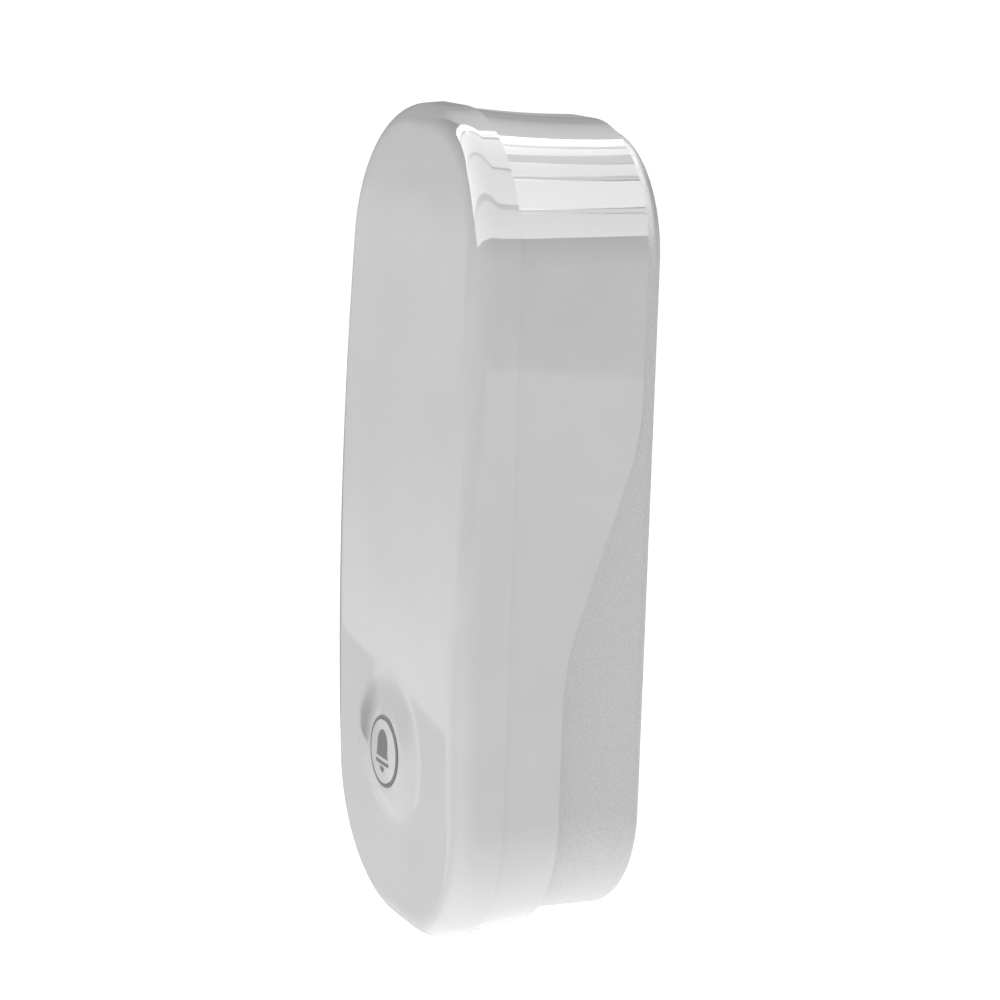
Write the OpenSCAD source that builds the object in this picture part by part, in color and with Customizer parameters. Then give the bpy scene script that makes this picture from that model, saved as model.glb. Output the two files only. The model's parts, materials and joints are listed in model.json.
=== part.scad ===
// Wireless doorbell push at real size, in millimetres.
// It stands upright: its back lies on the plane y = 0 and its front faces negative y.
// Each module is drawn lying on its back: x across, y up the wall, z out from the wall.

/* [Body] */
// height of the front cover at its seam
body_h = 100; // [98:0.5:104]
// width of the front cover at its seam
body_w = 40.2; // [39.6:0.1:42]
// depth from the wall to the flat of the front face
body_d = 24.7; // [24.5:0.1:26]
// radius of the four corners of the outline
corner_r = 17; // [16.4:0.1:17.4]

/* [Front cover] */
// depth of the front cover, from the flat face to its seam
cover_d = 5.5; // [5.3:0.1:5.7]
// radius of the rounded front edge
cover_edge_r = 3; // [2.4:0.1:3.2]
// slope of the side wall, narrower towards the front, in degrees
cover_draft = 3; // [1:0.5:4]
// thickness of the side wall
cover_wall = 2; // [1.8:0.1:2.2]
// thickness of the front plate
cover_plate = 2; // [1.8:0.1:2.1]
// flat border between the soft rise that carries the button and the rim of the plate
rise_border = 0.4; // [0.3:0.05:0.6]
// height of the rise over the flat face
rise_h = 1.8; // [1.6:0.1:2]
// share of the rise that is domed, before it flows out into the face
rise_dome = 0.66; // [0.6:0.01:0.72]

/* [Mid housing] */
// step from the front cover in to the mid housing at the seam
housing_step = 0.25; // [0.2:0.05:0.35]
// how far the hollow side of the mid housing draws in towards the rear
housing_taper = 1.2; // [1:0.05:1.3]
// distance from the outline in to the inner face of the mid housing
housing_inner = 2.35; // [2.3:0.05:2.4]
// thickness of the flange that the front cover is screwed to
flange_t = 1.8; // [1.6:0.1:1.9]
// distance from the outline in to the opening of the flange
flange_inset = 5.8; // [5.6:0.1:6.2]
// gap left at the seam
seam_gap = 0.1; // [0.08:0.01:0.14]
// distance of the upper rear edge from the wall
skirt_high = 2.6; // [2.4:0.1:3]
// distance of the lower rear edge from the wall
skirt_low = 11.6; // [11.2:0.1:12]
// height at which the rear edge starts to sweep forward
sweep_top = 17.4; // [16:0.2:19]
// slope of the sweep, in degrees
sweep_slope = 18.8; // [18:0.1:20]
// radius of the two curves of the sweep
sweep_r = 30; // [26:0.5:32]

/* [Rear cover] */
// distance from the outline in to the textured side of the rear cover
rear_inset = 2.5; // [2.5:0.05:2.7]
// thickness of its side wall
rear_wall = 2; // [1.8:0.1:2.1]
// thickness of its floor
rear_floor = 2; // [1.8:0.1:2.2]
// radius of its rounded rear edge
rear_edge_r = 1.5; // [1:0.1:1.8]
// distance between the two wall screw holes
wall_pitch = 80; // [78:0.5:81]
// radius of a wall screw hole
wall_hole_r = 2.1; // [1.8:0.1:2.3]
// height of the pad round a wall screw hole, over the floor
wall_pad_h = 1; // [0.5:0.1:1.4]

/* [Button] */
// height of the button over the middle of the body
button_up = -27.8; // [-28.6:0.1:-27]
// radius of the button cap
cap_r = 3.9; // [3.8:0.05:4]
// width of the grey seal ring that shows round the cap
seal_w = 0.42; // [0.36:0.02:0.5]
// running clearance between the cap and the seal
cap_gap = 0.06; // [0.04:0.01:0.08]
// play between the seal and the hole in the cover
seal_gap = 0.03; // [0.02:0.01:0.05]
// travel of the cap and of the switch plunger
button_travel = 0.8; // [0.5:0.1:0.9]
// radius of the flange that keeps the cap in the cover
cap_flange_r = 5.5; // [5.4:0.05:5.6]
// thickness of that flange
cap_flange_t = 0.8; // [0.6:0.1:0.9]
// running clearance between the flange and its guide tube
guide_gap = 0.08; // [0.05:0.01:0.1]
// wall thickness of the guide tube
guide_wall = 1.2; // [1:0.1:1.4]
// length of the guide tube
guide_len = 2.7; // [2.5:0.1:2.8]
// distance from the front plate to the foot of the cap
cap_foot = 3.5; // [3.4:0.1:3.7]
// radius of the foot of the cap
foot_r = 2.4; // [2:0.1:2.8]

/* [Switch and board] */
// side of the square switch body
switch_w = 6.2; // [6:0.1:6.6]
// height of the switch body over the board
switch_h = 3.4; // [3.2:0.1:3.5]
// radius of the switch plunger
plunger_r = 1.75; // [1.6:0.05:1.9]
// running clearance round the plunger
plunger_gap = 0.05; // [0.03:0.01:0.08]
// height of the plunger over the switch body
plunger_out = 1.58; // [1.5:0.02:1.7]
// depth of the plunger inside the switch body
plunger_in = 1.2; // [1:0.1:1.3]
// thickness of the circuit board
board_t = 1.6; // [1.4:0.1:1.8]
// distance from the outline in to the edge of the board
board_inset = 5.1; // [5:0.1:5.5]
// lower edge of the board, from the middle of the body
board_low = -43.8; // [-44:0.1:-43.4]
// upper edge of the board, from the middle of the body
board_high = -11; // [-11.4:0.1:-10.8]

/* [Power] */
// radius of a size AAA cell
cell_r = 5.2; // [5.1:0.05:5.25]
// length of a cell with its raised end
cell_len = 44.5; // [44:0.1:44.6]
// lower end of the cells, from the middle of the body
cell_low = -8.4; // [-8.6:0.1:-8.2]
// distance between the axes of the two cells
cell_pitch = 11.6; // [11.2:0.1:11.8]
// underside of the battery tray, from the wall
tray_z = 5.6; // [5.4:0.1:5.8]
// thickness of the battery tray under a cell
tray_t = 1.2; // [1:0.1:1.3]
// play round a cell in the tray
cell_gap = 0.2; // [0.15:0.05:0.3]
// thickness of the sheet of the battery contacts
contact_t = 0.4; // [0.3:0.05:0.5]

/* [Fasteners] */
// radius of the cover screws
cover_screw_r = 1; // [0.9:0.05:1.1]
// radius of the board screws
board_screw_r = 0.9; // [0.8:0.05:1]
// radius of the lock screw under the body
lock_screw_r = 1.25; // [1.1:0.05:1.4]
// clearance round a screw in its hole
screw_gap = 0.05; // [0.03:0.01:0.1]

/* [Hidden] */
half_w = body_w / 2;
half_h = body_h / 2;
corner_x = half_w - corner_r;
corner_y = half_h - corner_r;
overshoot = 1;
fill_lap = 0.6;

// front cover levels
plate_z = body_d - cover_plate;
seam_z = body_d - cover_d;
plate_ring_w = 2.2;
plate_ring = cover_wall + plate_ring_w;
screw_boss_r = 2.4;
screw_boss_skin = 0.5;

// mid housing levels
housing_front = seam_z - seam_gap;
flange_z = housing_front - flange_t;
hollow_h = housing_front - skirt_high;
hollow_steps = 16;
groove_out = 1;
groove_in = 1.7;
groove_d = 0.6;
gasket_gap = 0.03;
ear_r = 2.9;
cover_screw_side = 8.3;
cover_screw_x = half_w - cover_screw_side;
cover_screw_in = 12.2;
cover_screw_y = half_h - cover_screw_in;
cover_head_r = 1.8;
cover_head_t = 1.2;

// rear edge of the mid housing: a level, a curve, a slope, a curve and a level
curve_y = sweep_r * sin(sweep_slope);
curve_z = sweep_r * (1 - cos(sweep_slope));
slope_z = skirt_low - skirt_high - 2 * curve_z;
slope_top = sweep_top - curve_y;
slope_bottom = slope_top - slope_z / tan(sweep_slope);
sweep_bottom = slope_bottom - curve_y;

// rear cover levels
rear_gasket_t = 0.6;
rear_gasket_edge = 0.3;
rear_rim = flange_z - rear_gasket_t;
rear_inner = rear_inset + rear_wall;
ring_w = 3;
floor_ring = rear_inner + ring_w;
wall_pad_r = 4.2;

// lock screw under the body
lock_z = (skirt_low + flange_z) / 2;
lock_recess = 0.05;
lock_share = (lock_z - skirt_high) / hollow_h;
lock_out = housing_step + housing_taper * (1 - pow(lock_share, 2)) + lock_recess;
lock_boss_r = 2.1;
lock_boss_t = 1.4;
lock_spare = 0.4;

// button: the rise is a dome that flows out into the flat face
rise_r = half_w - plate_ring - rise_border;
rise_sum_r = (pow(rise_r, 2) + pow(rise_h, 2)) / (2 * rise_h);
dome_r = rise_sum_r * rise_dome;
flow_r = rise_sum_r - dome_r;
rise_top = body_d + rise_h;
dome_z = rise_top - dome_r;
join_r = rise_r * rise_dome;
join_z = dome_z + sqrt(pow(dome_r, 2) - pow(join_r, 2));
seal_r = cap_r + cap_gap;
hole_r = seal_r + seal_w + seal_gap;
seal_top = dome_z + sqrt(pow(dome_r, 2) - pow(hole_r, 2));
lip_w = 0.5;
lip_r = hole_r + lip_w;
lip_t = 0.7;
stop_gap = 0.05;
flange_top = plate_z - stop_gap;
flange_back = flange_top - cap_flange_t;
foot_z = plate_z - cap_foot;
guide_r = cap_flange_r + guide_gap;

// switch and board, behind the foot of the cap
touch_gap = 0.02;
plunger_top = foot_z - touch_gap;
switch_top = plunger_top - plunger_out;
board_z = switch_top - switch_h;
board_back = board_z - board_t;
socket_spare = 0.2;
socket_d = plunger_in + button_travel + socket_spare;
board_screw_side = 2.7;
board_half_w = half_w - board_inset;
board_screw_x = board_half_w - board_screw_side;
board_screw_in = 2.5;
board_screw_y = board_high - board_screw_in;
board_head_r = 1.9;
board_head_t = 1.1;
board_hole_d = 6;
screw_spare = 1;
post_r = 2.4;
rest_x = 8.5;
rest_y = -35.5;
rest_r = 2;
notch_r = 3.7;

// battery tray, cells and contacts
cell_x = cell_pitch / 2;
cell_z = tray_z + tray_t + cell_gap + cell_r;
cell_high = cell_low + cell_len;
nub_len = 1;
nub_r = 1.9;
contact_gap = 0.15;
contact_w = 8;
contact_low = cell_z - contact_w / 2;
contact_high = board_z + contact_t;
contact_slot = contact_t + 2 * contact_gap;
tray_wall = 1.2;
tray_end = 0.8;
tray_low = cell_low - contact_slot - tray_end;
tray_high = cell_high + contact_slot + tray_end;
tray_half_w = cell_x + cell_r + cell_gap + tray_wall;
tray_side_over = 1;
tray_top = cell_z + tray_side_over;
tray_end_over = 0.6;
tray_end_top = contact_high + tray_end_over;
tray_foot_w = 3;
tray_foot_len = 6;
tab_w = 2.8;
tab_lap = 2;
tab_gap = 0.2;

$fn = 96;

gloss_white = [0.93, 0.93, 0.93];
matt_white = [0.82, 0.82, 0.82];
sign_grey = [0.46, 0.46, 0.46];
rubber_grey = [0.35, 0.35, 0.36];
black_plastic = [0.12, 0.12, 0.13];
board_green = [0.1, 0.33, 0.2];
bare_metal = [0.72, 0.72, 0.74];
brass = [0.78, 0.66, 0.38];
ivory = [0.8, 0.76, 0.66];

// Stands a lying sub-part up against the wall.
module upright() {
    rotate([90, 0, 0])
        children();
}

// The outline of the body, drawn in by inset.
module outline(inset) {
    square([2 * corner_x, 2 * (half_h - inset)], center = true);
    square([2 * (half_w - inset), 2 * corner_y], center = true);
    for (sx = [-1, 1], sy = [-1, 1])
        translate([sx * corner_x, sy * corner_y])
            circle(r = corner_r - inset);
}

// Carries a wall profile round the outline: four straight runs and four corners.
// The profile has x = 0 on the outline, inwards negative, and y out from the wall.
module round_outline() {
    for (k = [0 : 3]) {
        upright_run = k % 2 == 0;
        sx = k == 0 || k == 3 ? 1 : -1;
        sy = k < 2 ? 1 : -1;
        rotate(90 * k)
            translate([upright_run ? half_w : half_h, 0, 0])
                rotate([90, 0, 0])
                    linear_extrude(upright_run ? 2 * corner_y : 2 * corner_x, center = true)
                        children();
        translate([sx * corner_x, sy * corner_y, 0])
            rotate(90 * k)
                rotate_extrude(angle = 90)
                    translate([corner_r, 0])
                        children();
    }
}

// A flat slab with the body's outline.
module slab(inset, low, high) {
    translate([0, 0, low])
        linear_extrude(high - low)
            outline(inset);
}

// A band that follows the outline, such as a gasket.
module band(outer, inner, low, high) {
    translate([0, 0, low])
        linear_extrude(high - low)
            difference() {
                outline(outer);
                outline(inner);
            }
}

// A round rod out from the wall.
module rod(x, y, low, high, r) {
    translate([x, y, low])
        cylinder(h = high - low, r = r);
}

// A round rod up the wall.
module rod_up(x, z, low, high, r) {
    translate([x, low, z])
        rotate([-90, 0, 0])
            cylinder(h = high - low, r = r);
}

// A box between two corners.
module box(low, high) {
    translate(low)
        cube(high - low);
}

// A box set on the board, centred on x and y.
module on_board(x, y, w, len, h) {
    box([x - w / 2, y - len / 2, board_z], [x + w / 2, y + len / 2, board_z + h]);
}

// The four places where the front cover is screwed to the mid housing.
module at_cover_screws() {
    for (sx = [-1, 1], sy = [-1, 1])
        translate([sx * cover_screw_x, sy * cover_screw_y, 0])
            children();
}

// The two places where the board is screwed down.
module at_board_screws() {
    for (sx = [-1, 1])
        translate([sx * board_screw_x, board_screw_y, 0])
            children();
}

// A drafted wall with a rounded front edge, and the rim of the front plate.
module cover_profile() {
    edge_z = body_d - cover_edge_r;
    edge_x = -(cover_edge_r + (edge_z - seam_z) * sin(cover_draft)) / cos(cover_draft);
    wall_x = edge_x + cover_edge_r * cos(cover_draft);
    wall_z = edge_z + cover_edge_r * sin(cover_draft);
    difference() {
        union() {
            polygon([[0, seam_z], [wall_x, wall_z], [edge_x, edge_z], [edge_x, body_d],
                [-plate_ring, body_d], [-plate_ring, seam_z]]);
            intersection() {
                translate([edge_x, edge_z])
                    circle(r = cover_edge_r);
                polygon([[edge_x, edge_z], [wall_x, wall_z], [wall_x + overshoot, body_d + overshoot],
                    [edge_x, body_d + overshoot]]);
            }
        }
        translate([-plate_ring - overshoot, seam_z - overshoot])
            square([plate_ring + overshoot - cover_wall, plate_z - seam_z + overshoot]);
    }
}

// Half section of the rise round the button, with the seal's seat and the cap's guide tube.
module rise_profile() {
    intersection() {
        translate([0, dome_z])
            circle(r = dome_r);
        translate([hole_r, plate_z + lip_t])
            square([join_r - hole_r, rise_top]);
    }
    difference() {
        translate([join_r, plate_z])
            square([rise_r - join_r, join_z - plate_z]);
        translate([rise_r, body_d + flow_r])
            circle(r = flow_r);
    }
    translate([lip_r, plate_z])
        square([join_r - lip_r, lip_t]);
    translate([guide_r, plate_z - guide_len])
        square([guide_wall, guide_len]);
}

module front_cover() {
    color(gloss_white)
        upright()
            difference() {
                union() {
                    round_outline()
                        cover_profile();
                    difference() {
                        slab(plate_ring - fill_lap, plate_z, body_d);
                        rod(0, button_up, plate_z - overshoot, body_d + overshoot, rise_r);
                    }
                    translate([0, button_up, 0])
                        rotate_extrude()
                            rise_profile();
                    at_cover_screws()
                        rod(0, 0, seam_z, plate_z + fill_lap, screw_boss_r);
                }
                at_cover_screws()
                    rod(0, 0, seam_z - overshoot, plate_z - screw_boss_skin, cover_screw_r + screw_gap);
            }
}

module button_cap() {
    color(gloss_white)
        upright()
            translate([0, button_up, 0])
                rotate_extrude() {
                    intersection() {
                        translate([0, dome_z])
                            circle(r = dome_r);
                        translate([0, flange_back])
                            square([cap_r, rise_top - flange_back]);
                    }
                    translate([0, flange_back])
                        square([cap_flange_r, cap_flange_t]);
                    translate([0, foot_z])
                        square([foot_r, flange_back - foot_z]);
                }
}

module button_seal() {
    color(sign_grey)
        upright()
            translate([0, button_up, plate_z])
                rotate_extrude() {
                    translate([seal_r, 0])
                        square([seal_w, seal_top - plate_z]);
                    translate([seal_r, 0])
                        square([lip_r - seal_gap - seal_r, lip_t - seal_gap]);
                }
}

module cover_gasket() {
    color(rubber_grey)
        upright()
            band(groove_out + gasket_gap, groove_in - gasket_gap, housing_front - groove_d, seam_z);
}

// A sleeve with a hollow side, drawn in towards the rear, a grooved front edge and the flange inside it.
module housing_profile() {
    difference() {
        union() {
            polygon(concat([for (k = [0 : hollow_steps])
                [-housing_step - housing_taper * (1 - pow(k / hollow_steps, 2)),
                    skirt_high + hollow_h * k / hollow_steps]],
                [[-housing_inner, housing_front], [-housing_inner, skirt_high - overshoot],
                    [-housing_step - housing_taper, skirt_high - overshoot]]));
            translate([-flange_inset, flange_z])
                square([flange_inset - housing_inner + fill_lap, flange_t]);
        }
        translate([-groove_in, housing_front - groove_d])
            square([groove_in - groove_out, groove_d + overshoot]);
    }
}

// What the swept rear edge cuts off the mid housing, from the side: x is up the wall.
module sweep_cut() {
    polygon([[sweep_top, skirt_high], [half_h + overshoot, skirt_high], [half_h + overshoot, -overshoot],
        [sweep_top - fill_lap, -overshoot]]);
    difference() {
        translate([slope_top, -overshoot])
            square([curve_y, skirt_high + curve_z + overshoot]);
        translate([sweep_top, skirt_high + sweep_r])
            circle(r = sweep_r, $fn = 360);
    }
    polygon([[slope_top + fill_lap, -overshoot], [slope_top, skirt_high + curve_z],
        [slope_bottom, skirt_low - curve_z], [slope_bottom - fill_lap, -overshoot]]);
    intersection() {
        translate([sweep_bottom, -overshoot])
            square([curve_y, skirt_low + 2 * overshoot]);
        translate([sweep_bottom, skirt_low - sweep_r])
            circle(r = sweep_r, $fn = 360);
    }
    polygon([[-half_h - overshoot, -overshoot], [-half_h - overshoot, skirt_low], [sweep_bottom, skirt_low],
        [sweep_bottom + fill_lap, -overshoot]]);
}

module mid_housing() {
    color(gloss_white)
        upright()
            difference() {
                union() {
                    round_outline()
                        housing_profile();
                    at_cover_screws()
                        rod(0, 0, flange_z, housing_front, ear_r);
                }
                rotate([90, 0, 90])
                    linear_extrude(body_w + 2 * overshoot, center = true)
                        sweep_cut();
                at_cover_screws()
                    rod(0, 0, flange_z - overshoot, seam_z, cover_screw_r + screw_gap);
                rod_up(0, lock_z, -half_h - overshoot, -half_h + flange_inset,
                    lock_screw_r + screw_gap);
            }
}

module rear_gasket() {
    color(rubber_grey)
        upright()
            band(rear_inset + rear_gasket_edge, rear_inner - rear_gasket_edge, rear_rim, flange_z);
}

// A tub wall with a rounded rear edge, and the rim of the floor.
module rear_profile() {
    edge_x = -rear_inset - rear_edge_r;
    polygon([[-rear_inset, rear_rim], [-rear_inset, rear_edge_r], [edge_x, rear_edge_r], [edge_x, 0],
        [-floor_ring, 0], [-floor_ring, rear_floor], [-rear_inner, rear_floor],
        [-rear_inner, rear_rim]]);
    intersection() {
        translate([edge_x, rear_edge_r])
            circle(r = rear_edge_r);
        translate([edge_x, 0])
            square(rear_edge_r);
    }
}

module rear_cover() {
    color(matt_white)
        upright()
            difference() {
                union() {
                    round_outline()
                        rear_profile();
                    slab(floor_ring - fill_lap, 0, rear_floor);
                    for (sy = [-1, 1])
                        rod(0, sy * wall_pitch / 2, rear_floor / 2, rear_floor + wall_pad_h, wall_pad_r);
                    at_board_screws()
                        rod(0, 0, rear_floor / 2, board_back, post_r);
                    for (sx = [-1, 1])
                        rod(sx * rest_x, rest_y, rear_floor / 2, board_back, rest_r);
                    rod_up(0, lock_z, -half_h + rear_inset + rear_wall / 2,
                        -half_h + rear_inner + lock_boss_t, lock_boss_r);
                }
                for (sy = [-1, 1])
                    rod(0, sy * wall_pitch / 2, -overshoot, rear_floor + wall_pad_h + overshoot, wall_hole_r);
                at_board_screws()
                    rod(0, 0, board_back - board_hole_d, board_back + overshoot,
                        board_screw_r + screw_gap);
                rod_up(0, lock_z, -half_h - overshoot, -half_h + rear_inner + lock_boss_t + overshoot,
                    lock_screw_r + screw_gap);
            }
}

module circuit_board() {
    color(board_green)
        upright()
            translate([0, 0, board_back])
                linear_extrude(board_t)
                    difference() {
                        intersection() {
                            outline(board_inset);
                            translate([-half_w, board_low])
                                square([body_w, board_high - board_low]);
                        }
                        translate([0, -wall_pitch / 2])
                            circle(r = notch_r);
                        translate([-notch_r, -half_h])
                            square([2 * notch_r, half_h - wall_pitch / 2]);
                        at_board_screws()
                            circle(r = board_screw_r + screw_gap);
                    }
}

module switch_body() {
    leg_w = 0.8;
    leg_len = 1.2;
    leg_t = 0.4;
    leg_lap = 0.4;
    color(black_plastic)
        upright() {
            difference() {
                on_board(0, button_up, switch_w, switch_w, switch_h);
                rod(0, button_up, switch_top - socket_d, switch_top + overshoot, plunger_r + plunger_gap);
            }
            for (sx = [-1, 1], sy = [-1, 1])
                on_board(sx * (switch_w + leg_len) / 2, button_up + sy * switch_w / 3, leg_len + leg_lap,
                    leg_w, leg_t);
        }
}

module switch_plunger() {
    color(ivory)
        upright()
            rod(0, button_up, switch_top - plunger_in, plunger_top, plunger_r);
}

module radio_can() {
    x = -7.4;
    y = -20.4;
    can_w = 7.4;
    can_len = 8.6;
    can_h = 2;
    foot_h = 0.6;
    foot_over = 0.8;
    color(bare_metal)
        upright() {
            on_board(x, y, can_w, can_len, can_h);
            on_board(x, y, can_w + foot_over, can_len + foot_over, foot_h);
        }
}

module controller_chip() {
    x = 7.6;
    y = -20;
    chip_w = 6;
    chip_h = 1;
    lead_w = 0.5;
    lead_len = 1;
    lead_t = 0.3;
    lead_lap = 0.2;
    leads = 5;
    lead_step = 1.1;
    color(black_plastic)
        upright() {
            on_board(x, y, chip_w, chip_w, chip_h);
            for (k = [0 : leads - 1], sx = [-1, 1])
                on_board(x + sx * (chip_w + lead_len) / 2, y + (k - (leads - 1) / 2) * lead_step,
                    lead_len + lead_lap, lead_w, lead_t);
        }
}

module crystal_can() {
    x = 8.2;
    y = -29;
    can_r = 2;
    can_len = 9;
    can_h = 2.4;
    base_over = 0.4;
    base_h = 0.5;
    color(bare_metal)
        upright()
            translate([x, y, board_z])
                for (over = [0, base_over])
                    linear_extrude(over == 0 ? can_h : base_h) {
                        square([2 * (can_r + over), can_len - 2 * can_r], center = true);
                        for (sy = [-1, 1])
                            translate([0, sy * (can_len / 2 - can_r)])
                                circle(r = can_r + over);
                    }
}

module capacitor() {
    x = 0.1;
    y = -18.3;
    can_r = 2.4;
    can_h = 5;
    base_h = 0.8;
    base_w = 5.2;
    color(black_plastic)
        upright() {
            rod(x, y, board_z, board_z + can_h, can_r);
            on_board(x, y, base_w, base_w, base_h);
        }
}

module antenna_strip() {
    strip_t = 0.5;
    strip_w = 2;
    leg_w = 1.2;
    lift = 2;
    strip_half = 4.2;
    strip_y = -35.4;
    color(brass)
        upright() {
            box([-strip_half, strip_y, board_z + lift],
                [strip_half, strip_y + strip_t, board_z + lift + strip_w]);
            for (x = [-strip_half, strip_half - leg_w])
                box([x, strip_y, board_z], [x + leg_w, strip_y + strip_t, board_z + lift + strip_t]);
        }
}

module battery_tray() {
    color(black_plastic)
        upright()
            difference() {
                union() {
                    box([-tray_half_w, tray_low, tray_z], [tray_half_w, tray_high, tray_top]);
                    for (y = [tray_low, tray_high - tray_end])
                        box([-tray_half_w, y, tray_z], [tray_half_w, y + tray_end, tray_end_top]);
                    for (sx = [-1, 1], y = [tray_low, tray_high - tray_foot_len])
                        translate([sx * (tray_half_w - tray_foot_w / 2), y, rear_floor])
                            translate([-tray_foot_w / 2, 0, 0])
                                cube([tray_foot_w, tray_foot_len, tray_z - rear_floor + fill_lap]);
                }
                for (sx = [-1, 1])
                    rod_up(sx * cell_x, cell_z, tray_low + tray_end, tray_high - tray_end,
                        cell_r + cell_gap);
                box([-cell_x, tray_low + tray_end, cell_z],
                    [cell_x, tray_high - tray_end, tray_top + overshoot]);
                for (y = [tray_low + tray_end, tray_high - tray_end - contact_slot])
                    box([-tray_half_w + tray_wall, y, contact_low - contact_gap],
                        [tray_half_w - tray_wall, y + contact_slot, tray_top + overshoot]);
                for (sx = [-1, 1])
                    translate([sx * cell_x, 0, board_z - tab_gap])
                        box([-tab_w / 2 - tab_gap, tray_low - overshoot, 0],
                            [tab_w / 2 + tab_gap, tray_low + tray_end + overshoot, tray_end_top]);
            }
}

// A cell along the wall; up is 1 where its raised end is at the top and -1 where it is below.
module cell(x, up) {
    nub_low = up > 0 ? cell_high - nub_len : cell_low;
    can_low = up > 0 ? cell_low : cell_low + nub_len;
    rod_up(x, cell_z, can_low, can_low + cell_len - nub_len, cell_r);
    rod_up(x, cell_z, nub_low, nub_low + nub_len, nub_r);
}

module cell_left() {
    color(bare_metal)
        upright()
            cell(-cell_x, 1);
}

module cell_right() {
    color(bare_metal)
        upright()
            cell(cell_x, -1);
}

// A contact at the lower end of a cell, with a tab bent over onto the board.
module board_contact(x) {
    back = cell_low - contact_gap - contact_t;
    box([x - contact_w / 2, back, contact_low], [x + contact_w / 2, back + contact_t, contact_high]);
    box([x - tab_w / 2, board_high - tab_lap, board_z], [x + tab_w / 2, back + contact_t, contact_high]);
}

module contact_positive() {
    color(bare_metal)
        upright()
            board_contact(cell_x);
}

module contact_negative() {
    color(bare_metal)
        upright()
            board_contact(-cell_x);
}

module contact_bridge() {
    front = cell_high + contact_gap;
    reach = cell_x + contact_w / 2;
    color(bare_metal)
        upright()
            box([-reach, front, contact_low], [reach, front + contact_t, board_z]);
}

module cover_screws() {
    color(bare_metal)
        upright()
            at_cover_screws() {
                rod(0, 0, flange_z - cover_head_t, flange_z, cover_head_r);
                rod(0, 0, flange_z - cover_head_t / 2, plate_z - 2 * screw_boss_skin, cover_screw_r);
            }
}

module board_screws() {
    color(bare_metal)
        upright()
            at_board_screws() {
                rod(0, 0, board_z, board_z + board_head_t, board_head_r);
                rod(0, 0, board_back - board_hole_d + screw_spare, board_z + board_head_t / 2, board_screw_r);
            }
}

module lock_screw() {
    color(bare_metal)
        upright()
            rod_up(0, lock_z, -half_h + lock_out, -half_h + rear_inner + lock_boss_t - lock_spare,
                lock_screw_r);
}

front_cover();
button_cap();
button_seal();
cover_gasket();
mid_housing();
rear_gasket();
rear_cover();
circuit_board();
switch_body();
switch_plunger();
radio_can();
controller_chip();
crystal_can();
capacitor();
antenna_strip();
battery_tray();
cell_left();
cell_right();
contact_positive();
contact_negative();
contact_bridge();
cover_screws();
board_screws();
lock_screw();
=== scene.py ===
"""Looks of the wireless doorbell push: materials, the bowed cover, the bell sign, camera, floor and lights."""

import json
import math

import bmesh
import bpy
from mathutils import Matrix, Vector

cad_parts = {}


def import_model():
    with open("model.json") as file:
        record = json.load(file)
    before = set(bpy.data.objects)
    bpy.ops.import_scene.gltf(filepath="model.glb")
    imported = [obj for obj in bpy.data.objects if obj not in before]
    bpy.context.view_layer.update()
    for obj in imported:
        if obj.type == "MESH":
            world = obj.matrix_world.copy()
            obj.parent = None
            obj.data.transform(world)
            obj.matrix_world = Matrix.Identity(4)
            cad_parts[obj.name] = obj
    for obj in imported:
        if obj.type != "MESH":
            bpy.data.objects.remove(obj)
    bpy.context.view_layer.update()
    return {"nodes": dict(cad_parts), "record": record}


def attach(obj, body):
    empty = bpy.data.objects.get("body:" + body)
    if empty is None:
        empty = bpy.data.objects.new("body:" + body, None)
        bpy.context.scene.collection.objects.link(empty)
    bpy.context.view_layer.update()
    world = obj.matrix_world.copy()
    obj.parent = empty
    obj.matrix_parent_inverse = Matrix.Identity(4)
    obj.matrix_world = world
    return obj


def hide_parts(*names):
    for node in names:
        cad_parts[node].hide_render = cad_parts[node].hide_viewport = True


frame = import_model()
scene = bpy.context.scene
nodes_of = frame["nodes"]

# places that the sign and the camera share with the solids, in metres
MM = 0.001
FACE_Y = -24.7 * MM
RING_Z = -27.8 * MM
DOME_R = 44.64 * MM
DOME_TOP_Y = -26.5 * MM


def linked(name, data):
    """A new object of the scene."""
    obj = bpy.data.objects.new(name, data)
    scene.collection.objects.link(obj)
    return obj


# materials

NOISE_LOW, NOISE_HIGH = 0.3, 0.7  # the range in which nearly all of a noise lies
SPOT_SCALE = 90.0
GRAIN_CELLS, GRAIN_FINE = 5200.0, 7500.0


def new_material(name):
    mat = bpy.data.materials.new(name)
    mat.use_nodes = True
    tree = mat.node_tree
    tree.nodes.clear()
    out = tree.nodes.new("ShaderNodeOutputMaterial")
    bsdf = tree.nodes.new("ShaderNodeBsdfPrincipled")
    tree.links.new(bsdf.outputs["BSDF"], out.inputs["Surface"])
    return mat, tree, bsdf


def noise(tree, scale, detail=2.0, roughness=0.5):
    coords = tree.nodes.new("ShaderNodeTexCoord")
    tex = tree.nodes.new("ShaderNodeTexNoise")
    tex.inputs["Scale"].default_value = scale
    tex.inputs["Detail"].default_value = detail
    tex.inputs["Roughness"].default_value = roughness
    tree.links.new(coords.outputs["Object"], tex.inputs["Vector"])
    return tex.outputs["Fac"]


def ramp(tree, fac, stops):
    node = tree.nodes.new("ShaderNodeValToRGB")
    points = node.color_ramp.elements
    while len(points) < len(stops):
        points.new(0.5)
    for point, (place, colour) in zip(points, stops):
        point.position = place
        point.color = (*colour, 1.0)
    tree.links.new(fac, node.inputs["Fac"])
    return node.outputs["Color"]


def spread(tree, fac, low, high):
    node = tree.nodes.new("ShaderNodeMapRange")
    node.inputs["From Min"].default_value = NOISE_LOW
    node.inputs["From Max"].default_value = NOISE_HIGH
    node.inputs["To Min"].default_value = low
    node.inputs["To Max"].default_value = high
    tree.links.new(fac, node.inputs["Value"])
    return node.outputs["Result"]


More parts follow.
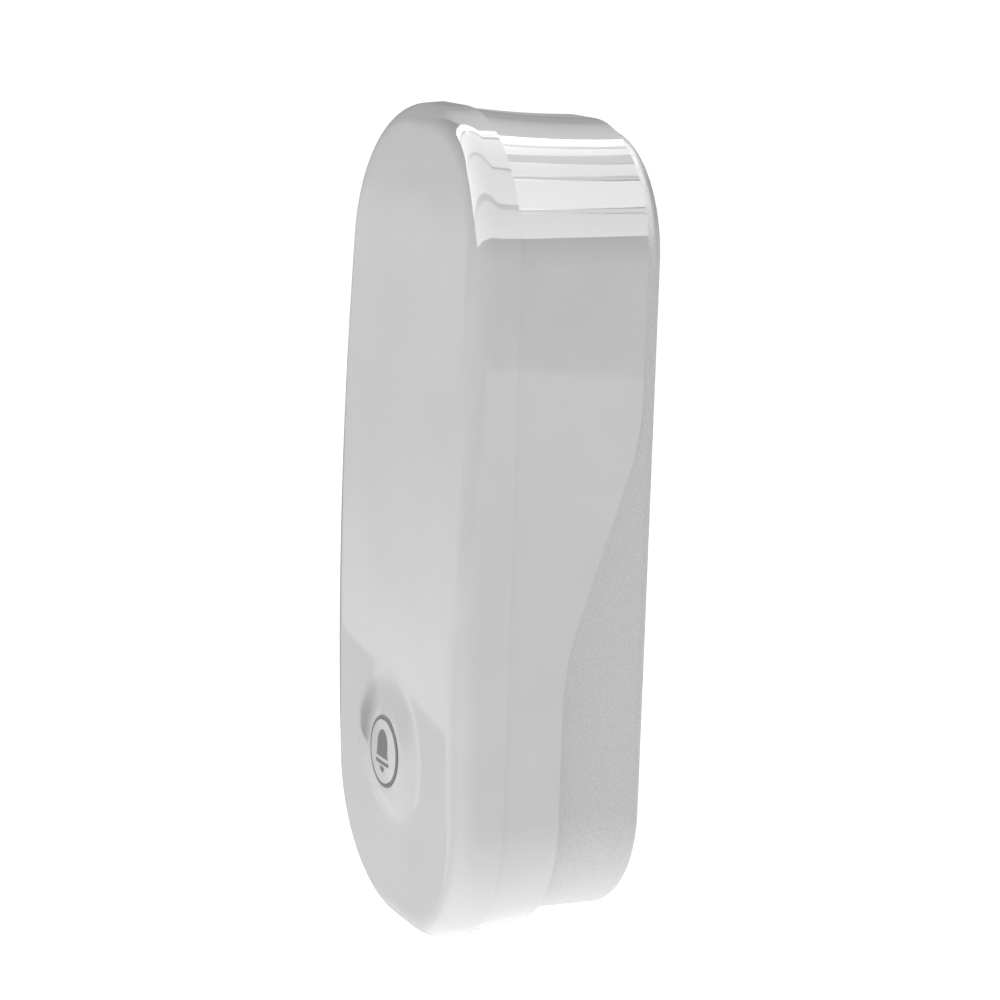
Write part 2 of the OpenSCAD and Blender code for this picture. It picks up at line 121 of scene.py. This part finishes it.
def bump(tree, bsdf, height, strength, distance):
    node = tree.nodes.new("ShaderNodeBump")
    node.inputs["Strength"].default_value = strength
    node.inputs["Distance"].default_value = distance
    tree.links.new(height, node.inputs["Height"])
    tree.links.new(node.outputs["Normal"], bsdf.inputs["Normal"])


def grey(v):
    return (v, v, v)


def shifted(colour, share):
    return tuple(min(1.0, c * share) for c in colour)


def moulded(name, colour, rough, grain_scale, grain, spot, metal):
    """A moulded or plated surface: slow colour drift, uneven polish and a fine grain in the relief."""
    mat, tree, bsdf = new_material(name)
    slow = noise(tree, SPOT_SCALE, 3.0)
    fine = noise(tree, grain_scale, 2.0, 0.6)
    stops = [(NOISE_LOW, shifted(colour, 1 - spot)), (NOISE_HIGH, shifted(colour, 1 + spot))]
    tree.links.new(ramp(tree, slow, stops), bsdf.inputs["Base Color"])
    tree.links.new(spread(tree, fine, rough[0], rough[1]), bsdf.inputs["Roughness"])
    bsdf.inputs["Specular IOR Level"].default_value = 0.5
    bsdf.inputs["Metallic"].default_value = metal
    bump(tree, bsdf, fine, grain[0], grain[1])
    return mat


def textured(name, colour):
    """Spark-eroded plastic with small round grains in the relief; its colour follows that relief, with painted
    light on the grain tops and painted shade in the pits.
    """
    mat, tree, bsdf = new_material(name)
    coords = tree.nodes.new("ShaderNodeTexCoord")
    cells = tree.nodes.new("ShaderNodeTexVoronoi")
    cells.feature = "SMOOTH_F1"
    cells.inputs["Scale"].default_value = GRAIN_CELLS
    cells.inputs["Smoothness"].default_value = 0.4
    tree.links.new(coords.outputs["Object"], cells.inputs["Vector"])
    fine = noise(tree, GRAIN_FINE, 3.0, 0.6)
    mix = tree.nodes.new("ShaderNodeMath")
    mix.operation = "MULTIPLY_ADD"
    mix.inputs[1].default_value = -0.7
    tree.links.new(cells.outputs["Distance"], mix.inputs[0])
    tree.links.new(fine, mix.inputs[2])
    # painted light and shade of the grain: the same relief as the bump, lighter on the tops and darker in the
    # pits
    stops = [(0.0, shifted(colour, 0.86)), (0.5, shifted(colour, 1.06))]
    tree.links.new(ramp(tree, mix.outputs["Value"], stops), bsdf.inputs["Base Color"])
    tree.links.new(spread(tree, fine, 0.32, 0.44), bsdf.inputs["Roughness"])
    bsdf.inputs["Specular IOR Level"].default_value = 0.6
    bump(tree, bsdf, mix.outputs["Value"], 0.35, 0.00006)
    return mat


# colour, roughness from and to, scale of the grain, its strength and depth in metres, colour drift, metallic
MOULDED = {
    "gloss_white": (grey(0.64), (0.015, 0.035), 1500.0, (0.02, 0.00002), 0.02, 0.0),
    "sign_grey": (grey(0.175), (0.4, 0.5), 2500.0, (0.05, 0.00002), 0.04, 0.0),
    "dark_rubber": (grey(0.02), (0.6, 0.75), 2200.0, (0.15, 0.00004), 0.1, 0.0),
    "board_green": ((0.012, 0.12, 0.05), (0.25, 0.4), 900.0, (0.1, 0.00004), 0.15, 0.0),
    "black_plastic": (grey(0.012), (0.35, 0.5), 1800.0, (0.1, 0.00003), 0.1, 0.0),
    "ivory_plastic": ((0.55, 0.47, 0.32), (0.3, 0.4), 1800.0, (0.05, 0.00003), 0.02, 0.0),
    "plated_steel": (grey(0.62), (0.2, 0.32), 700.0, (0.08, 0.00004), 0.06, 1.0),
    "bare_aluminium": (grey(0.72), (0.25, 0.38), 1200.0, (0.08, 0.00003), 0.05, 1.0),
    "strip_brass": ((0.7, 0.5, 0.2), (0.22, 0.34), 900.0, (0.08, 0.00003), 0.08, 1.0),
    "cell_can": ((0.16, 0.18, 0.21), (0.25, 0.35), 600.0, (0.06, 0.00003), 0.06, 0.0),
    "screw_steel": (grey(0.55), (0.25, 0.4), 1500.0, (0.1, 0.00003), 0.08, 1.0),
}
MATERIALS = {name: moulded(name, *look) for name, look in MOULDED.items()}
MATERIALS["matt_white"] = textured("matt_white", grey(0.625))
SLOT_LOOK = {"grey_rubber": "sign_grey"}

for part in frame["record"]["subparts"]:
    obj = nodes_of[part["node"]]
    slot = part["material_slot"]
    obj.data.materials.clear()
    obj.data.materials.append(MATERIALS[SLOT_LOOK.get(slot, slot)])


# the front cover with the slow bow of its face, which its solid leaves flat: all sizes in millimetres

BODY_W, BODY_H, CORNER_R = 40.2, 100.0, 17.0
SEAM, FACE, PLATE_BACK = 19.2, 24.7, 22.7
EDGE_R, EDGE_IN, DRAFT, WALL = 3.0, 3.135, math.radians(3.0), 2.0
HOLE_R, HOLE_Z, HOLE_TOP = 4.41, -27.8, 26.18
RISE_END, RISE_LEFT = 9.2, 2.4  # where the rise round the button ends, and how much further it runs to the left
BOW_TOP, BOW_Z, DROP_UP, DROP_LOW = 0.95, -4.0, 1.7, 2.0
SHARP = math.radians(35)


def cover_outline(arc_steps=40, side_steps=60, end_steps=6):
    """Points and outward directions round the cover, from the lower right side up and over."""
    half_w, half_h = BODY_W / 2, BODY_H / 2
    cx, cz = half_w - CORNER_R, half_h - CORNER_R
    out = []
    runs = [((cx, cz), 0, (half_w, -cz), side_steps), ((-cx, cz), 90, (cx, half_h), end_steps),
            ((-cx, -cz), 180, (-half_w, cz), side_steps), ((cx, -cz), 270, (-cx, -half_h), end_steps)]
    for (ax, az), angle, (sx, sz), steps in runs:
        nx, nz = round(math.cos(math.radians(angle))), round(math.sin(math.radians(angle)))
        ex, ez = ax + CORNER_R * nx, az + CORNER_R * nz
        for k in range(steps):
            out.append(((sx + (ex - sx) * k / steps, sz + (ez - sz) * k / steps), (nx, nz)))
        for k in range(arc_steps):
            turn = math.radians(angle + 90 * k / arc_steps)
            n = (math.cos(turn), math.sin(turn))
            out.append(((ax + CORNER_R * n[0], az + CORNER_R * n[1]), n))
    return out


def bowed_face(x, z):
    """How far the face stands from the wall: a long bow, lifted softly to the button's seat."""
    drop = DROP_UP if z > BOW_Z else DROP_LOW
    base = FACE + BOW_TOP - drop * ((z - BOW_Z) * 2 / BODY_H) ** 2
    far = math.hypot(x, z - HOLE_Z)
    end = RISE_END + RISE_LEFT * (max(0.0, -x) / far) ** 2
    t = min(1.0, max(0.0, (end - far) / (end - HOLE_R)))
    return base + (HOLE_TOP - base) * t * t * (3 - 2 * t)


def cover_loops(face_steps=44, edge_steps=10):
    """Closed loops: from the seam up the side, over the edge and the face, down the hole, back inside."""
    line = cover_outline()

    def inset(d):
        return [(p[0] - d * n[0], p[1] - d * n[1]) for p, n in line]

    border = inset(EDGE_IN)
    tops = [bowed_face(x, z) for x, z in border]
    loops = [[(x, SEAM, z) for x, z in inset(0.0)]]
    for k in range(edge_steps):
        a = DRAFT + (math.pi / 2 - DRAFT) * k / edge_steps
        ring = inset(EDGE_IN - EDGE_R * math.cos(a))
        loops.append([(x, top - EDGE_R * (1 - math.sin(a)), z) for (x, z), top in zip(ring, tops)])
    rim = []
    for x, z in border:
        far = math.hypot(x, z - HOLE_Z)
        rim.append((x * HOLE_R / far, HOLE_Z + (z - HOLE_Z) * HOLE_R / far))
    for k in range(face_steps + 1):
        s = k / face_steps
        row = [(a[0] + (b[0] - a[0]) * s, a[1] + (b[1] - a[1]) * s) for a, b in zip(border, rim)]
        loops.append([(x, bowed_face(x, z), z) for x, z in row])
    loops.append([(x, PLATE_BACK, z) for x, z in rim])
    loops.append([(x, PLATE_BACK, z) for x, z in inset(WALL)])
    loops.append([(x, SEAM, z) for x, z in inset(WALL)])
    return loops


def bowed_cover():
    bm = bmesh.new()
    rows = [[bm.verts.new((x * MM, -y * MM, z * MM)) for x, y, z in loop] for loop in cover_loops()]
    count = len(rows[0])
    for a, b in zip(rows, rows[1:] + rows[:1]):
        for k in range(count):
            m = (k + 1) % count
            bm.faces.new((a[k], a[m], b[m], b[k]))
    bmesh.ops.recalc_face_normals(bm, faces=bm.faces)
    mesh = bpy.data.meshes.new("front_cover_bowed")
    bm.to_mesh(mesh)
    bm.free()
    mesh.shade_smooth()
    mesh.set_sharp_from_angle(angle=SHARP)
    obj = linked("front_cover_bowed", mesh)
    obj.data.materials.append(MATERIALS["gloss_white"])
    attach(obj, "base")
    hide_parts("front_cover")


bowed_cover()


# the bell sign, printed on the button cap: heights from the middle of the ring and half widths in millimetres

BELL_LOW, BELL_TOP, BELL_HALF = -0.72, 2.75, 1.62
BASE_LOW, BASE_TOP, BASE_HALF = -1.62, -1.12, 2.05
CLAPPER_LOW, CLAPPER_TOP, CLAPPER_HALF = -2.6, -1.85, 0.85
PRINT_LIFT = 0.004 * MM


def on_dome(x, z):
    """A point just above the cap's domed face, x across and z up from the middle of the ring."""
    rise = DOME_R - math.sqrt(DOME_R ** 2 - x * x - z * z)
    return Vector((x, DOME_TOP_Y + rise - PRINT_LIFT, RING_Z + z))


def printed(name, rings):
    """A thin printed patch on the dome, from rows of points that run from one edge to the other."""
    mesh = bpy.data.meshes.new(name)
    bm = bmesh.new()
    rows = [[bm.verts.new(on_dome(x, z)) for x, z in row] for row in rings]
    for low, high in zip(rows, rows[1:]):
        for k in range(len(low) - 1):
            bm.faces.new((low[k], low[k + 1], high[k + 1], high[k]))
    bmesh.ops.remove_doubles(bm, verts=bm.verts, dist=1e-7)
    bmesh.ops.recalc_face_normals(bm, faces=bm.faces)
    bm.to_mesh(mesh)
    bm.free()
    obj = linked(name, mesh)
    obj.data.materials.append(MATERIALS["sign_grey"])
    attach(obj, "button")


def bell_width(t):
    """Half width of the bell's body at height t from its rim, 0, to its crown, 1."""
    shoulder = math.sqrt(max(0.0, 1 - max(0.0, (t - 0.45) / 0.55) ** 2))
    flare = 0.16 * max(0.0, 1 - t / 0.3) ** 2
    return BELL_HALF * (1.0 + flare) * shoulder


def base_width(t):
    return BASE_HALF


def clapper_width(t):
    return CLAPPER_HALF * math.sqrt(t)


def rows_between(low_z, high_z, half, rows, columns=12):
    out = []
    for k in range(rows + 1):
        t = k / rows
        z = (low_z + (high_z - low_z) * t) * MM
        w = half(t) * MM
        out.append([(w * (2 * c / columns - 1), z) for c in range(columns + 1)])
    return out


printed("bell_body", rows_between(BELL_LOW, BELL_TOP, bell_width, 24))
printed("bell_base", rows_between(BASE_LOW, BASE_TOP, base_width, 4))
printed("bell_clapper", rows_between(CLAPPER_LOW, CLAPPER_TOP, clapper_width, 10))


# camera: angles in degrees and lengths in millimetres, fitted to the photo

IMAGE_PX, FOCAL_PX, SENSOR = 1000, 3200.0, 36.0
AZIMUTH, ELEVATION, ROLL = 65.9165, 10.5655, 1.8325
DISTANCE, SHIFT_X, SHIFT_Y = 381.5259, -11.7159, -2.9357


def camera():
    az, el, roll = (math.radians(angle) for angle in (AZIMUTH, ELEVATION, ROLL))
    back = Vector((math.sin(az) * math.cos(el), -math.cos(az) * math.cos(el), math.sin(el)))
    level = Vector((math.cos(az), math.sin(az), 0.0))
    plumb = level.cross(-back)
    right = math.cos(roll) * level + math.sin(roll) * plumb
    up = math.cos(roll) * plumb - math.sin(roll) * level
    place = (DISTANCE * back - SHIFT_X * right - SHIFT_Y * up) * MM + Vector((0, FACE_Y, 0))
    data = bpy.data.cameras.new("camera")
    data.sensor_width = SENSOR
    data.lens = FOCAL_PX / IMAGE_PX * SENSOR
    data.clip_start = 0.01
    data.clip_end = 50.0
    obj = linked("camera", data)
    obj.matrix_world = Matrix((right, up, back)).transposed().to_4x4()
    obj.matrix_world.translation = place
    scene.camera = obj


camera()


# floor and world, in metres and linear brightness

FLOOR_HALF, FLOOR_Z = 12.0, -0.3
FLOOR_GLOW, FLOOR_SEEN = 0.3, 0.85  # the floor's own light for other rays and for the camera's
ROOM = [(0.0, 0.5), (0.5, 0.5), (0.62, 0.38), (1.0, 0.2)]  # from straight down to straight up


def floor():
    mesh = bpy.data.meshes.new("floor")
    s, z = FLOOR_HALF, FLOOR_Z
    mesh.from_pydata([(-s, -s, z), (s, -s, z), (s, s, z), (-s, s, z)], [], [(0, 1, 2, 3)])
    obj = linked("floor", mesh)
    mat, tree, bsdf = new_material("floor_white")
    bsdf.inputs["Base Color"].default_value = (0.9, 0.9, 0.9, 1.0)
    bsdf.inputs["Roughness"].default_value = 0.8
    bsdf.inputs["Emission Color"].default_value = (1.0, 1.0, 1.0, 1.0)
    path = tree.nodes.new("ShaderNodeLightPath")
    level = tree.nodes.new("ShaderNodeMapRange")
    level.inputs["To Min"].default_value = FLOOR_GLOW
    level.inputs["To Max"].default_value = FLOOR_SEEN
    tree.links.new(path.outputs["Is Camera Ray"], level.inputs["Value"])
    tree.links.new(level.outputs["Result"], bsdf.inputs["Emission Strength"])
    obj.data.materials.append(mat)


def world():
    """White where the camera looks past the part, a dim room with a darker ceiling for other rays."""
    w = bpy.data.worlds.new("studio")
    scene.world = w
    w.use_nodes = True
    tree = w.node_tree
    tree.nodes.clear()
    out = tree.nodes.new("ShaderNodeOutputWorld")
    back = tree.nodes.new("ShaderNodeBackground")
    path = tree.nodes.new("ShaderNodeLightPath")
    coords = tree.nodes.new("ShaderNodeTexCoord")
    split = tree.nodes.new("ShaderNodeSeparateXYZ")
    tree.links.new(coords.outputs["Generated"], split.inputs["Vector"])
    height = tree.nodes.new("ShaderNodeMapRange")
    height.inputs["From Min"].default_value = -1.0
    height.inputs["From Max"].default_value = 1.0
    tree.links.new(split.outputs["Z"], height.inputs["Value"])
    dome = ramp(tree, height.outputs["Result"], [(place, grey(level)) for place, level in ROOM])
    mix = tree.nodes.new("ShaderNodeMix")
    mix.data_type = "RGBA"
    tree.links.new(path.outputs["Is Camera Ray"], mix.inputs["Factor"])
    tree.links.new(dome, mix.inputs["A"])
    mix.inputs["B"].default_value = (1.0, 1.0, 1.0, 1.0)
    tree.links.new(mix.outputs["Result"], back.inputs["Color"])
    tree.links.new(back.outputs["Background"], out.inputs["Surface"])


floor()
world()


# softboxes

def panel(name, place, across, along, size, level, diffuse=True, glossy=True):
    """A softbox that faces the part: its middle, two directions, size and the brightness of its cloth."""
    x = Vector(across).normalized()
    y = Vector(along).normalized()
    y = (y - x * x.dot(y)).normalized()
    z = x.cross(y)
    if z.dot(Vector(place)) < 0:
        y, z = -y, -z
    data = bpy.data.lights.new(name, "AREA")
    data.shape = "RECTANGLE"
    data.size, data.size_y = size
    data.energy = level * math.pi * size[0] * size[1]
    obj = linked(name, data)
    obj.matrix_world = Matrix((x, y, z)).transposed().to_4x4()
    obj.matrix_world.translation = Vector(place)
    obj.visible_diffuse = diffuse
    obj.visible_glossy = glossy
    obj.visible_camera = False
    return data


def fade(data, stops):
    """Lets a softbox fade across its width: places from 0 to 1 and the brightness there."""
    data.use_nodes = True
    tree = data.node_tree
    glow = tree.nodes["Emission"]
    geometry = tree.nodes.new("ShaderNodeNewGeometry")
    split = tree.nodes.new("ShaderNodeSeparateXYZ")
    tree.links.new(geometry.outputs["Parametric"], split.inputs["Vector"])
    top = max(level for place, level in stops)
    tint = ramp(tree, split.outputs["X"], [(place, grey(level / top)) for place, level in stops])
    tree.links.new(tint, glow.inputs["Color"])
    glow.inputs["Strength"].default_value = top


# a bright table under the right side, a fill for the front and a card on the left that the face mirrors
table = panel("table_glow", (0.788, 0.455, -0.28), (0.866, 0.5, 0.0), (-0.5, 0.866, 0.0),
              (2.32, 2.6), 1.0)
fade(table, [(0.0, 0.58), (0.5, 0.7), (1.0, 1.1)])
panel("front_fill", (-0.1, -1.4, -0.25), (1.0, 0.0, 0.0), (0.0, -0.15, 1.0),
      (1.4, 1.2), 1.65, glossy=False)
card = panel("left_card", (-3.969, -2.008, -0.28), (0.981, 0.193, 0.0), (0.193, -0.981, 0.0),
             (7.6, 2.0), 1.0, diffuse=False)
fade(card, [(0.0, 0.0), (0.18, 0.2), (0.4, 0.37), (0.692, 0.25),
            (0.811, 0.16), (0.896, 0.36), (0.924, 0.55), (1.0, 0.61)])

# a tall window that the glossy housing mirrors: the middle, the height, the run and the brightness of each pane
WINDOW = [
    ((-0.327, 0.505, 0.845), (-0.142, -0.012, -0.051), (-0.040, -0.065, 0.029), 10.5),
    ((-0.147, 0.519, 0.890), (-0.121, -0.009, -0.016), (-0.023, -0.077, 0.047), 9.8),
    ((0.161, 0.542, 0.872), (-0.184, -0.014, 0.043), (0.011, -0.093, 0.063), 9.8),
    ((0.470, 0.565, 0.712), (-0.297, -0.021, 0.221), (0.050, -0.106, 0.056), 10.5),
    ((0.732, 0.583, 0.410), (-0.129, -0.008, 0.261), (0.082, -0.115, 0.027), 7.0),
]
PANE_LENGTH = 0.3
PANE_GROWTH = 1.06
BAR_LEVEL = 6.5


def pane(name, place, across, along, level):
    middle = Vector(place) + Vector((0, FACE_Y, 0))
    panel(name, middle, across, along, (Vector(across).length, PANE_LENGTH), level, diffuse=False)


for number, (place, across, along, level) in enumerate(WINDOW):
    pane("pane_%d" % number, place, Vector(across) * PANE_GROWTH, along, level)
for number, (upper, lower) in enumerate(zip(WINDOW, WINDOW[1:])):
    start = Vector(upper[0]) - Vector(upper[1]) * PANE_GROWTH / 2
    end = Vector(lower[0]) + Vector(lower[1]) * PANE_GROWTH / 2
    pane("bar_%d" % number, (start + end) / 2, start - end, lower[2], BAR_LEVEL)

# the soft light round the top of that window
glow = panel("window_glow", (-0.642, 0.4, 0.565), (0.512, 0.0, 0.647), (0.0, -1.0, 0.1),
             (0.95, 1.3), 1.0, diffuse=False)
fade(glow, [(0.0, 0.0), (0.35, 0.6), (0.75, 3.2), (1.0, 5.0)])


# things that only mirrors see

def for_mirrors(obj):
    obj.visible_camera = False
    obj.visible_diffuse = False
    obj.visible_shadow = False


# the same window for the cover's side and rounded edge, as a curved sheet between two lines of directions;
# both lines and the panes are counted in rows from the window's top down to its sill
SIDE_DIRECTIONS = [(133, (-0.29, 0.38, 0.88)), (140, (-0.19, 0.38, 0.91)), (165, (0.23, 0.37, 0.90)),
                   (200, (0.65, 0.36, 0.67)), (238, (0.91, 0.36, 0.27))]
EDGE_DIRECTIONS = [(133, (-0.60, -0.53, 0.61)), (150, (-0.43, -0.70, 0.58)),
                   (170, (-0.42, -0.82, 0.38)), (200, (-0.27, -0.93, 0.26)), (238, (0.13, -0.98, 0.12))]
SHEET_ROWS = [(133, 142, 11.0), (142, 144, 5.0), (144, 173.5, 10.5), (173.5, 176, 5.5),
              (176, 207, 9.6), (207, 212, 5.0), (212, 238, 7.4)]
SHEET_FAR = 1.2


def direction_at(line, row):
    for (r0, d0), (r1, d1) in zip(line, line[1:]):
        if row <= r1:
            return Vector(d0).lerp(Vector(d1), (row - r0) / (r1 - r0)).normalized()
    return Vector(line[-1][1]).normalized()


def emitter(name, level):
    mat = bpy.data.materials.new(name)
    mat.use_nodes = True
    tree = mat.node_tree
    tree.nodes.clear()
    out = tree.nodes.new("ShaderNodeOutputMaterial")
    light = tree.nodes.new("ShaderNodeEmission")
    light.inputs["Strength"].default_value = level
    tree.links.new(light.outputs["Emission"], out.inputs["Surface"])
    return mat


def window_sheet(columns=18, steps=4):
    mesh = bpy.data.meshes.new("window_sheet")
    verts, faces, looks = [], [], []
    for number, (top, low, level) in enumerate(SHEET_ROWS):
        mesh.materials.append(emitter("window_%d" % number, level))
        first = len(verts)
        for k in range(steps + 1):
            row = top + (low - top) * k / steps
            a, b = direction_at(SIDE_DIRECTIONS, row), direction_at(EDGE_DIRECTIONS, row)
            verts += [a.slerp(b, c / columns) * SHEET_FAR for c in range(columns + 1)]
        for k in range(steps):
            for c in range(columns):
                v = first + k * (columns + 1) + c
                faces.append((v, v + 1, v + columns + 2, v + columns + 1))
                looks.append(number)
    mesh.from_pydata(verts, [], faces)
    mesh.polygons.foreach_set("material_index", looks)
    obj = linked("window_sheet", mesh)
    for_mirrors(obj)


def flag(name, place, half):
    """A dark cloth with soft edges far to the left, which the left slope of the button's rise mirrors."""
    mesh = bpy.data.meshes.new(name)
    mesh.from_pydata([(0, -1, -1), (0, 1, -1), (0, 1, 1), (0, -1, 1)], [], [(0, 1, 2, 3)])
    obj = linked(name, mesh)
    obj.matrix_world = Matrix.LocRotScale(Vector(place), None, Vector(half))
    mat, tree, bsdf = new_material(name + "_cloth")
    bsdf.inputs["Base Color"].default_value = (0.01, 0.01, 0.01, 1.0)
    bsdf.inputs["Roughness"].default_value = 0.9
    coords = tree.nodes.new("ShaderNodeTexCoord")
    ball = tree.nodes.new("ShaderNodeTexGradient")
    ball.gradient_type = "SPHERICAL"
    tree.links.new(coords.outputs["Object"], ball.inputs["Vector"])
    level = tree.nodes.new("ShaderNodeMapRange")
    level.inputs["From Max"].default_value = 0.45
    tree.links.new(ball.outputs["Fac"], level.inputs["Value"])
    tree.links.new(level.outputs["Result"], bsdf.inputs["Alpha"])
    mesh.materials.append(mat)
    for_mirrors(obj)


window_sheet()
flag("flag_low", (-1.0, 0.05, -0.24), (1.0, 0.42, 0.17))

scene.view_settings.view_transform = "Standard"
